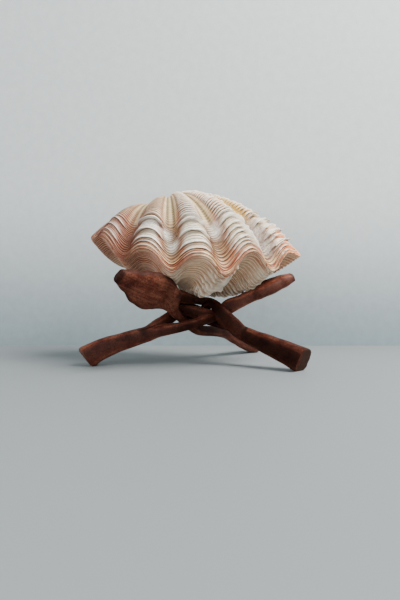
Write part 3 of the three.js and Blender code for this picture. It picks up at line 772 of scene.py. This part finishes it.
def shellColourGroup(mottle):
    look = shellPattern
    outputs = {"Color": "NodeSocketColor", "Height": "NodeSocketFloat"}
    tree, given, out = newGroup("shellColour", "ShaderNodeTree", upperLook, outputs)
    place = addNode(tree, "ShaderNodeTexCoord").outputs["Object"]
    turn, fold, rib = named(tree, "turn"), named(tree, "fold"), named(tree, "rib")
    lineRise, stepRise = named(tree, "lineRise"), named(tree, "stepRise")

    def along(perFold, perTurn):  # noise drawn out along the growth lines
        stretched = {0: times(tree, fold, perFold), 1: times(tree, turn, perTurn)}
        vector = addNode(tree, "ShaderNodeCombineXYZ", stretched).outputs[0]
        return noiseValue(tree, vector, 1.0, look["stretchDetail"])

    broad, fine = noiseValue(tree, place, *look["broadNoise"]), noiseValue(tree, place, *look["fineNoise"])
    bands, threads = along(*look["bandStretch"]), along(*look["threadStretch"])
    band, thread = fade(tree, bands, *look["bandChange"]), fade(tree, threads, *look["threadChange"])
    ribMask = fade(tree, rib, fade(tree, turn, *look["ribFrom"]), fade(tree, turn, *look["ribTo"]))
    front = times(tree, fade(tree, fold, *look["leftCorner"]), fade(tree, fold, *look["rightCorner"]))
    behind = maths(tree, "SUBTRACT", 1.0, front)
    # ribs: white flares below, paler ropes above
    base = blendColour(tree, fade(tree, turn, *look["flareToRope"]), given["Flare"], given["Rope"])
    ribColour = blendColour(tree, times(tree, thread, look["ribThreads"]), base, given["Flank"])
    # troughs: drawn-out stripes above, threads of cream and brown below
    wave = maths(tree, "COSINE", times(tree, fold, 2 * math.pi * shellGrowth["ribletsPerFold"]))
    stripeChange = fade(tree, wave, *look["stripeWave"])
    stripeColour = blendColour(tree, stripeChange, given["Stripe Dark"], given["Stripe Light"])
    troughThreads = times(tree, thread, look["troughThreads"])
    troughColour = blendColour(tree, troughThreads, given["Trough"], given["Cream"])
    stripeMask = times(tree, fade(tree, turn, *look["stripeStart"]), given["Stripe Amount"])
    troughColour = blendColour(tree, stripeMask, troughColour, stripeColour)
    base = blendColour(tree, maths(tree, "MAXIMUM", ribMask, behind), troughColour, ribColour)
    flank = times(tree, fade(tree, rib, *look["flankFrom"]), fade(tree, rib, *look["flankTo"]))
    flank = times(tree, flank, fade(tree, turn, *look["flankFade"]))
    flank = times(tree, flank, fade(tree, broad, *look["flankPatches"]))
    base = blendColour(tree, flank, base, given["Flank"])
    # the margin and the two ends: bands of cream and orange brown
    stray = times(tree, maths(tree, "SUBTRACT", broad, 0.5), look["marginStray"])
    nearMargin = maths(tree, "DIVIDE", maths(tree, "ADD", turn, stray), given["Margin Reach"])
    marginMask = times(tree, fade(tree, nearMargin, *look["marginChange"]), look["marginAmount"])
    base = blendColour(tree, marginMask, base, blendColour(tree, band, given["Band"], given["Cream"]))
    broken = fade(tree, bands, *look["endBreaks"])
    for label, start, full, gone in look["ends"]:
        end = fade(tree, maths(tree, "SUBTRACT", fold, given[label + " Fold"]), start, full)
        end = times(tree, end, front)
        end = times(tree, times(tree, end, fade(tree, turn, gone, look["endFull"])), broken)
        base = blendColour(tree, end, base, given[label + " End"])
    # dark feet of the lines: their own brown colour, deepened by painted shade in the gaps under the lips
    footBrownAndShade = times(tree, fade(tree, lineRise, *look["footChange"]), fade(tree, rib, *look["footOnRibs"]))
    keptBehind = times(tree, behind, look["footBehind"])
    footBrownAndShade = times(tree, footBrownAndShade, maths(tree, "MAXIMUM", fade(tree, turn, *look["footFade"]), keptBehind))
    gap = fade(tree, turn, *look["shadeGapFade"], given["Gap"], look["ropeShadeGap"])
    bigFootShade = times(tree, fade(tree, stepRise, gap, 0.0), named(tree, "strength"))
    darkBreaks = fade(tree, bands, *look["darkBreaks"], fade(tree, turn, *look["darkLeast"]), 1.0)
    dark = times(tree, maths(tree, "MAXIMUM", footBrownAndShade, bigFootShade), darkBreaks)
    base = blendColour(tree, times(tree, dark, given["Line Strength"]), base, given["Line"])
    # light lips: painted highlight on each lip edge, mixed with the crust's own white
    lip = times(tree, fade(tree, stepRise, *look["lipHighlightChange"]), named(tree, "strength"))
    crust = times(tree, named(tree, "crust"), fade(tree, fine, *look["crustBreaks"]))
    lip = maths(tree, "MAXIMUM", times(tree, lip, look["lipHighlightAmount"]), crust)
    lineHighlight = times(tree, fade(tree, lineRise, *look["lineHighlight"]), given["Lip Light"])
    base = blendColour(tree, maths(tree, "MAXIMUM", lip, lineHighlight), base, given["Crust"])
    for spot in shellSpots:
        foldSpot, turnSpot = spot["place"]
        foldReach, turnReach = spot["reach"]
        away = addNode(tree, "ShaderNodeCombineXYZ", {
            0: maths(tree, "DIVIDE", maths(tree, "SUBTRACT", fold, foldSpot), foldReach),
            1: maths(tree, "DIVIDE", maths(tree, "SUBTRACT", turn, turnSpot), turnReach),
        }).outputs[0]
        length = addNode(tree, "ShaderNodeVectorMath", {0: away}, operation="LENGTH").outputs["Value"]
        amount = times(tree, fade(tree, length, *look["spotEdge"], 0.0, spot["amount"]), given["Spots"])
        base = blendColour(tree, amount, base, spot["colour"])
    base = blendColour(tree, 1.0, base, mottled(tree, mottle, place, look["mottle"]), "MULTIPLY")
    tree.links.new(base, out["Color"])
    grit = times(tree, noiseValue(tree, place, *look["gritNoise"]), look["gritBump"])
    rough = maths(tree, "ADD", fine, grit)
    tree.links.new(maths(tree, "ADD", rough, times(tree, threads, look["threadBump"])), out["Height"])
    return tree


def newMaterial(name, roughness, specular=0.5):
    material = bpy.data.materials.new(name)
    material.use_nodes = True
    shader = material.node_tree.nodes["Principled BSDF"]
    shader.inputs["Roughness"].default_value = roughness
    shader.inputs["Specular IOR Level"].default_value = specular
    return material, material.node_tree, shader


shellFinish = {"roughness": 0.55, "specular": 0.35, "bump": 0.35, "bumpDepth": 0.25 * mm}


def shellMaterial(name, look, group):
    material, tree, shader = newMaterial(name, shellFinish["roughness"], shellFinish["specular"])
    shellColours = addNode(tree, "ShaderNodeGroup", look, node_tree=group)
    bump = addNode(tree, "ShaderNodeBump", {
        "Height": shellColours.outputs["Height"], "Strength": shellFinish["bump"],
        "Distance": shellFinish["bumpDepth"],
    })
    tree.links.new(shellColours.outputs["Color"], shader.inputs["Base Color"])
    tree.links.new(bump.outputs[0], shader.inputs["Normal"])
    return material


# Noises: scale, detail and, for the first two, roughness. grainScale draws the fibres out along the leg.
woodLook = {
    "dark": colour("#140705"), "middle": colour("#401b12"), "light": colour("#5f382a"),
    "end": colour("#3f2c25"), "roughness": 0.58, "sheen": 0.05,
    "grainScale": (90.0, 700.0, 700.0), "fibreNoise": (1.0, 5.0, 0.65), "patchNoise": (90.0, 4.0, 0.6),
    "speckNoise": (1500.0, 3.0), "fibreShare": 0.6, "patchShare": 0.4,
    "lightChange": (0.38, 0.66), "darkPatches": (0.48, 0.3, 0.0, 0.5), "speckChange": (0.5, 0.64),
    "speckle": 0.6, "rimBreaks": (0.3, 0.6, 0.6, 1.0), "mottle": (420.0, 0.8, 1.1),
    "bump": 0.4, "bumpDepth": 0.3 * mm,
}


def woodMaterial(name, look, mottle):
    material, tree, shader = newMaterial(name, look["roughness"])
    # tone: painted light and shade, the leg's brightness set by how light falls on it; it also scales the
    # wood's specular level
    paintedLegLightAndShade = named(tree, "tone")
    tree.links.new(times(tree, paintedLegLightAndShade, look["sheen"]), shader.inputs["Specular IOR Level"])
    place = addNode(tree, "ShaderNodeTexCoord").outputs["Object"]
    grain = {"Vector": named(tree, "grain", vector=True), "Scale": look["grainScale"]}
    stretched = addNode(tree, "ShaderNodeMapping", grain).outputs[0]
    fibres = noiseValue(tree, stretched, *look["fibreNoise"])
    patches = noiseValue(tree, place, *look["patchNoise"])
    fibreShare, patchShare = times(tree, fibres, look["fibreShare"]), times(tree, patches, look["patchShare"])
    mixed = maths(tree, "ADD", fibreShare, patchShare)
    base = blendColour(tree, fade(tree, mixed, *look["lightChange"]), look["middle"], look["light"])
    base = blendColour(tree, fade(tree, patches, *look["darkPatches"]), base, look["dark"])
    specks = noiseValue(tree, place, *look["speckNoise"])
    speckMask = fade(tree, specks, *look["speckChange"], 0.0, look["speckle"])
    base = blendColour(tree, speckMask, base, look["dark"])
    rim = times(tree, named(tree, "rim"), fade(tree, fibres, *look["rimBreaks"]))
    base = blendColour(tree, rim, base, look["dark"])
    base = blendColour(tree, named(tree, "sawn"), base, look["end"])
    # painted light and shade: each leg and hood is made lighter or darker by how light falls on it
    brightness = times(tree, mottled(tree, mottle, place, look["mottle"]), paintedLegLightAndShade)
    base = blendColour(tree, 1.0, base, brightness, "MULTIPLY")
    tree.links.new(base, shader.inputs["Base Color"])
    bump = addNode(tree, "ShaderNodeBump", {"Height": fibres, "Strength": look["bump"],
                                            "Distance": look["bumpDepth"]})
    tree.links.new(bump.outputs[0], shader.inputs["Normal"])
    return material


mottle = mottleGroup()
shellColour = shellColourGroup(mottle)
upperMaterial = shellMaterial("upperShellSurface", upperLook, shellColour)
lowerMaterial = shellMaterial("lowerShellSurface", lowerLook, shellColour)
woodSurface = woodMaterial("carvedWood", woodLook, mottle)
print("materials made")

relief, leaf = reliefTree(), scuteLeaf()
for valve, material in ((upperValve, upperMaterial), (lowerValve, lowerMaterial)):
    piece = valvePiece(valve, relief, leaf, material)
    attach(piece, "root")
    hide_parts(valve["node"])
bpy.data.objects.remove(leaf)
print("valves made")

# Stand. Stations of a strand: x, y, z, width, thickness, roll in degrees, all lengths in millimetres.
# rim, tip, hood and sawn: where a mark starts and its reach. The rim's are shares of the half width, the
# hood's are shares of the length, and the other two are measured from the leg's ends.
# tone, hoodPaintedLightAndShade: painted light and shade, how much lighter a leg and its hood are painted
# where light falls on them, and darker where they lie in shade.
# bareFoot, bareBase: how far the sawn end and the base stay uncarved, so that they stay flat.

stand = {
    "sides": 40,
    "squareness": 2.9,
    "stepsPerSpan": 12,
    "voxel": 0.75,
    # painted shade: the wood is darkened around the crossing of the legs, where the strands shade each other
    "crossing": (2, -8, 32),
    "crossingPaintedShade": 0.5,
    "crossingShadeReach": (12, 34),
    "relaxFactor": 0.5,
    "relaxSteps": 3,
    "bareFoot": 0.9,
    "bareBase": 0.6,
    "rim": (0.78, 0.2),
    "rimAmount": 0.8,
    "tip": (3.5, 2.5),
    "tipAmount": 0.9,
    "hood": (0.58, 0.16),
    "sawn": (1.3, 0.8),
    "pointsAtOnce": 4000,
    "carving": {"Depth": 0.35 * mm, "Scale": 95.0, "Seed": 4.0},
}
legs = {
    "left_leg": {
        "footCut": (0, -0.16),
        "tone": 2.0,
        "hoodPaintedLightAndShade": 3.0,
        "body": [
            (-70.9, -16.3, 5.4, 13, 16, 0), (-61.8, -16.1, 10.6, 12.5, 14, 0),
            (-45.8, -15.6, 16.3, 11, 11.5, 0), (-31.8, -15.4, 20.6, 9.5, 10.5, -8),
            (-21.8, -16.6, 23.2, 8, 7.6, -20), (-6.8, -18.8, 26.2, 5.4, 6.6, -20),
            (8.2, -14, 30.6, 6, 6.6, -20), (17.2, -10.2, 34.2, 7, 7.4, -12), (24.2, -9.6, 39.3, 9, 10, -5),
            (32.8, -8.1, 43.2, 9.5, 8, -8), (38.2, -7.3, 45.9, 12, 8, -8), (44.2, -6.6, 48.9, 19, 9, -8),
            (52.2, -6, 52.7, 20.6, 9.8, -8), (60.2, -5.6, 56.2, 16.5, 8.8, -8), (68.2, -5.3, 59.4, 10, 6, -8),
        ],
        "bridge": [
            (-33, -15, 22.5, 7, 5, -10), (-22.8, -13.2, 27.6, 7, 8, -20), (-14.8, -10.2, 32.6, 5, 9, -20),
            (-8.8, -9.2, 37.4, 5.2, 4.8, -10), (-3.8, -9.4, 36.3, 5.6, 7.8, -10),
            (2.2, -10.8, 35.2, 6, 8.4, -15), (9.2, -11.8, 34, 6, 7, -15), (16.2, -11.4, 34.2, 7, 4.6, -15),
        ],
    },
    "right_leg": {
        "footCut": (-0.3, 0),
        "tone": 0.75,
        "hoodPaintedLightAndShade": 1.6,
        "body": [
            (67.1, -38.4, 6.5, 13, 16, 0), (58.2, -32.9, 10.6, 12.6, 14, 0),
            (48.2, -26.7, 14.9, 11.5, 12.5, 0), (38.2, -20.6, 19, 10, 10.5, 0),
            (30.2, -15.7, 22.6, 9, 9.5, -8), (23.7, -11.1, 25.4, 7, 5.6, -25),
            (16.7, -6.4, 27.5, 6.6, 6, -30), (10.6, -3.2, 30.6, 6.6, 9, -25), (2.7, 1.7, 34, 8.4, 11, -15),
            (-7.8, 8, 37.4, 8.5, 12.4, -10), (-17.8, 14.4, 45, 10.5, 9.4, -8),
            (-25.8, 19.4, 51.6, 19, 7.6, -8), (-35.8, 25.6, 56.2, 20.6, 7.7, -8),
            (-44.8, 31.2, 59.6, 16.5, 7.2, -8), (-54.5, 37.1, 63, 10, 5, -8),
        ],
        "bridge": [
            (33, -17.8, 21.4, 6.5, 8, -5), (26.6, -20, 26.6, 5, 10.4, -5), (20.8, -21, 31.2, 4.6, 11.2, -5),
            (16.6, -19.8, 36.4, 4.6, 9.2, -12), (12.8, -13.2, 41.6, 6, 5.6, -22),
            (9.6, -6.3, 40, 6.5, 5, -25), (6.7, -0.6, 36.4, 6.5, 4.8, -20),
        ],
    },
    "back_leg": {
        "footCut": (0, 0),
        "tone": 2.4,
        "hoodPaintedLightAndShade": 1.55,
        "body": [
            (49.8, 54.4, 5.5, 13, 13.4, 0), (41.2, 44, 9.6, 12, 12.5, 0), (33.8, 34.9, 13.4, 11, 10.5, 0),
            (24.2, 22.9, 18.8, 9.5, 9, -8), (13.2, 9.9, 20.8, 7.5, 7, -15), (3.7, 0, 22.4, 7.5, 7, -15),
            (-3.3, -7.8, 26.6, 6.6, 5.2, -25), (-8.4, -14.4, 31.4, 6, 4.6, -32),
            (-12.6, -20.8, 36.4, 7, 5.2, -40), (-16.3, -26.1, 44.2, 19, 6.8, -56),
            (-20.8, -31.1, 47.6, 24, 7.5, -56), (-25.6, -36.4, 49, 26.4, 7.7, -56),
            (-30.8, -42.6, 51.3, 23, 7.7, -56), (-36.6, -49, 54.6, 15, 7.2, -52),
            (-42.4, -54.9, 57.6, 9, 5.5, -48),
        ],
        "bridge": [
            (-16, -25.3, 46, 9, 7, -50), (-12.4, -20.8, 46.6, 8, 8.8, -40), (-8.8, -16.3, 46, 7, 8.4, -25),
            (3.2, -0.8, 42.9, 7, 5.4, -10), (12.7, 8.9, 41.9, 7, 5.8, -10), (21.2, 18.9, 33.8, 7, 6.4, -8),
            (30.7, 30.4, 17, 7, 4.6, 0),
        ],
    },
}


def strand(stations, footCut=(0, 0)):  # one closed tube through the stations, with where each section stands
    stations = np.array(stations, float)
    spans = len(stations) - 1
    places = np.linspace(0, spans, spans * stand["stepsPerSpan"] + 1)
    centre = throughPoints(stations[:, :3], places)
    forward = np.gradient(centre, axis=0)
    forward /= np.linalg.norm(forward, axis=1)[:, None]
    low = np.clip(np.floor(places).astype(int), 0, spans - 1)
    part = smooth(places - low)[:, None]
    width, thickness, roll = mix(stations[low, 3:], stations[low + 1, 3:], part).T
    right = np.cross(forward, (0, 0, 1))
    right /= np.linalg.norm(right, axis=1)[:, None]
    up = np.cross(right, forward)
    c, s = np.cos(np.radians(roll))[:, None], np.sin(np.radians(roll))[:, None]
    # the same roll turns a section the opposite way in the solids, so the hoods differ from them
    right, up = right * c + up * s, up * c - right * s
    angle = 2 * np.pi * (np.arange(stand["sides"]) + 0.5) / stand["sides"]
    power = 2 / stand["squareness"]
    across = 0.5 * width[:, None] * np.sign(np.cos(angle)) * np.abs(np.cos(angle)) ** power
    high = 0.5 * thickness[:, None] * np.sign(np.sin(angle)) * np.abs(np.sin(angle)) ** power
    slant = np.zeros_like(across)
    slant[0] = across[0] * footCut[0] + high[0] * footCut[1]
    rings = (centre[:, None] + across[..., None] * right[:, None] + high[..., None] * up[:, None]
             + slant[..., None] * forward[:, None])
    count, size = rings.shape[:2]
    points = np.concatenate([rings.reshape(-1, 3), [rings[0].mean(0)], [rings[-1].mean(0)]])
    # a strand's rings run the other way round than a valve's, so its faces are turned over
    faces = [face[:1] + face[:0:-1] for face in tubeFaces(count, size)]
    length = np.concatenate([[0], np.cumsum(np.linalg.norm(np.diff(centre, axis=0), axis=1))])
    return {"points": points, "faces": faces, "centre": centre, "forward": forward, "right": right, "up": up,
            "length": length, "width": width, "thickness": thickness}


carvingInputs = {
    "Geometry": "NodeSocketGeometry", "Depth": 0.0003, "Scale": 90.0, "Seed": 0.0,
    "Material": "NodeSocketMaterial",
}


def carvingTree():  # uneven hand-carved faces
    outputs = {"Geometry": "NodeSocketGeometry"}
    tree, given, out = newGroup("handCarving", "GeometryNodeTree", carvingInputs, outputs)
    noise = maths(tree, "SUBTRACT", seededNoise(tree, given["Scale"], given["Seed"], 1.0)[0], 0.5)
    depth = times(tree, times(tree, times(tree, noise, given["Depth"]), 2.0), named(tree, "carved"))
    carved = pushedOut(tree, given["Geometry"], depth)
    real = addNode(tree, "GeometryNodeRealizeInstances", {0: carved}).outputs[0]
    made = addNode(tree, "GeometryNodeSetMaterial", {0: real, "Material": given["Material"]})
    tree.links.new(made.outputs[0], out[0])
    return tree


def joinStrands(piece):  # one skin over both strands, cut flat at the table
    remesh = piece.modifiers.new("join", "REMESH")
    remesh.mode = "VOXEL"
    remesh.voxel_size = stand["voxel"] * mm
    relax = piece.modifiers.new("relax", "SMOOTH")
    relax.factor = stand["relaxFactor"]
    relax.iterations = stand["relaxSteps"]
    graph = bpy.context.evaluated_depsgraph_get()
    joined = bpy.data.meshes.new_from_object(piece.evaluated_get(graph), depsgraph=graph)
    piece.modifiers.clear()
    piece.data = joined
    work = bmesh.new()
    work.from_mesh(joined)
    cut = bmesh.ops.bisect_plane(work, geom=work.verts[:] + work.edges[:] + work.faces[:], dist=1e-7,
                                 plane_co=(0, 0, 0), plane_no=(0, 0, 1), clear_inner=True)
    rim = [edge for edge in cut["geom_cut"] if isinstance(edge, bmesh.types.BMEdge)]
    bmesh.ops.holes_fill(work, edges=rim)
    bmesh.ops.triangulate(work, faces=[face for face in work.faces if len(face.verts) > 4])
    bmesh.ops.recalc_face_normals(work, faces=work.faces)
    work.to_mesh(joined)
    work.free()
    return joined


def woodMarks(leg, body, bridge, place):  # what the carving and the wood's material read at each point
    frames = {key: np.concatenate([body[key], bridge[key]]) for key in
              ("centre", "forward", "right", "up", "length", "width", "thickness")}
    nearest = np.concatenate([
        np.argmin(np.linalg.norm(part[:, None] - frames["centre"][None], axis=2), axis=1)
        for part in np.array_split(place, 1 + len(place) // stand["pointsAtOnce"])])
    away = place - frames["centre"][nearest]
    across = np.sum(away * frames["right"][nearest], 1)
    high = np.sum(away * frames["up"][nearest], 1)
    along = frames["length"][nearest] + np.sum(away * frames["forward"][nearest], 1)
    onBody = nearest < len(body["centre"])
    whole = body["length"][-1]
    (rimStart, rimReach), (tipStart, tipReach) = stand["rim"], stand["tip"]
    (hoodStart, hoodReach), (sawnStart, sawnReach) = stand["hood"], stand["sawn"]
    rim = smooth((np.abs(across) / (0.5 * frames["width"][nearest]) - rimStart) / rimReach)
    tip = smooth((along - whole + tipStart) / tipReach) * onBody
    onHood = smooth((along / whole - hoodStart) / hoodReach) * onBody
    bare = (onBody & (along < stand["bareFoot"])) | (place[:, 2] < stand["bareBase"])
    # painted shade around the crossing of the legs, where the strands shade each other
    inner, outer = stand["crossingShadeReach"]
    fromCrossing = np.linalg.norm(place - np.array(stand["crossing"]), axis=1)
    paintedCrossingShade = mix(stand["crossingPaintedShade"], 1.0, smooth((fromCrossing - inner) / (outer - inner)))
    return {
        "grain": np.stack([along, across, high], 1) * mm,
        "rim": np.maximum(rim * stand["rimAmount"], tip * stand["tipAmount"]),
        "sawn": smooth((sawnStart - along) / sawnReach) * onBody,
        "carved": np.where(bare, 0.0, 1.0),
        # tone: painted light and shade of the leg and its hood, with the painted shade near the crossing laid
        # over it
        "tone": mix(leg["tone"], leg["hoodPaintedLightAndShade"], onHood) * paintedCrossingShade,
    }


def legPiece(node, leg, tree, material):
    shift = np.array(shellGrowth["centreShift"])
    body, bridge = strand(leg["body"], leg["footCut"]), strand(leg["bridge"])
    offset = len(body["points"])
    points = (np.concatenate([body["points"], bridge["points"]]) + shift) * mm
    faces = body["faces"] + [tuple(k + offset for k in face) for face in bridge["faces"]]
    piece = makePiece(node + "_wood", points, faces)
    joined = joinStrands(piece)
    place = np.array([v.co for v in joined.vertices], float) / mm - shift
    markMesh(joined, woodMarks(leg, body, bridge, place))
    growNodes(piece, tree, {**stand["carving"], "Material": material})
    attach(piece, "root")
    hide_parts(node)
    print(piece.name, "triangles", triangleCount(piece))


carving = carvingTree()
for node, leg in legs.items():
    legPiece(node, leg, carving, woodSurface)
print("stand made")

# Floor, wall, light and camera.

studio = {
    "reach": 3.0,
    "tableEdge": 0.1,
    "floorFinish": (0.6, 0.3),
    "wallFinish": (0.9, 0.1),
    "wallShadeChange": (0.16, -0.02),
    "wallMottle": (130.0, 0.96, 1.03),
    "aim": (0, 0, 0.07),
    "floorColour": colour("#777d7f"),
    "wallColour": colour("#c5cbcc"),
    "wallFootShade": colour("#808e93"),
    "worldColour": (0.78, 0.84, 0.88, 1.0),
    "worldStrength": 0.6,
    "keyLight": {"place": (0.6, -0.3, 0.85), "size": 0.5, "power": 30.0, "colour": (1.0, 0.97, 0.93)},
    "fillLight": {"place": (-0.3, -0.75, 0.12), "size": 0.9, "power": 7.0, "colour": (0.95, 0.97, 1.0)},
}
camera = {"place": (0.00568, -0.28205, 0.0435), "lens": 24.0, "sensor": 36.0, "nearest": 0.01}


def stageSheet(name, corners, material):
    sheet = makePiece(name, corners, [tuple(range(len(corners)))])
    sheet.data.materials.append(material)


def buildRoom():  # a table top, and a wall that only shows from the front
    far, edge = studio["reach"], studio["tableEdge"]
    floorMaterial, tree, shader = newMaterial("paleFloor", *studio["floorFinish"])
    shader.inputs["Base Color"].default_value = studio["floorColour"]
    stageSheet("floor", [(-far, -far, 0), (far, -far, 0), (far, far, 0), (-far, far, 0)], floorMaterial)
    wallMaterial, tree, shader = newMaterial("paleWall", *studio["wallFinish"])
    place = addNode(tree, "ShaderNodeTexCoord").outputs["Object"]
    height = addNode(tree, "ShaderNodeSeparateXYZ", {0: place}).outputs[2]
    # painted shade: the wall is made darker and bluer towards its foot
    paintedWallShade = fade(tree, height, *studio["wallShadeChange"])
    paint = blendColour(tree, paintedWallShade, studio["wallColour"], studio["wallFootShade"])
    paint = blendColour(tree, 1.0, paint, mottled(tree, mottle, place, studio["wallMottle"]), "MULTIPLY")
    tree.links.new(paint, shader.inputs["Base Color"])
    seeThrough = addNode(tree, "ShaderNodeBsdfTransparent")
    facing = addNode(tree, "ShaderNodeNewGeometry").outputs["Backfacing"]
    sides = {0: facing, 1: shader.outputs[0], 2: seeThrough.outputs[0]}
    oneSided = addNode(tree, "ShaderNodeMixShader", sides)
    tree.links.new(oneSided.outputs[0], tree.nodes["Material Output"].inputs["Surface"])
    stageSheet("wall", [(-far, edge, 0), (far, edge, 0), (far, edge, far), (-far, edge, far)], wallMaterial)


def addLights():
    world = bpy.data.worlds.new("softRoom")
    world.use_nodes = True
    background = world.node_tree.nodes["Background"]
    background.inputs[0].default_value = studio["worldColour"]
    background.inputs[1].default_value = studio["worldStrength"]
    bpy.context.scene.world = world
    for label in ("keyLight", "fillLight"):
        values = studio[label]
        lamp = bpy.data.lights.new(label, "AREA")
        lamp.size = values["size"]
        lamp.energy = values["power"]
        lamp.color = values["colour"]
        holder = bpy.data.objects.new(label, lamp)
        holder.location = values["place"]
        aim = Vector(studio["aim"]) - Vector(values["place"])
        holder.rotation_euler = aim.to_track_quat("-Z", "Y").to_euler()
        bpy.context.scene.collection.objects.link(holder)


def addCamera():
    lens = bpy.data.cameras.new("viewer")
    lens.lens = camera["lens"]
    lens.sensor_width = camera["sensor"]
    lens.clip_start = camera["nearest"]
    viewer = bpy.data.objects.new("viewer", lens)
    viewer.location = camera["place"]
    viewer.rotation_euler = (math.radians(90), 0, 0)
    bpy.context.scene.collection.objects.link(viewer)
    bpy.context.scene.camera = viewer


buildRoom()
addLights()
addCamera()
print("studio made")
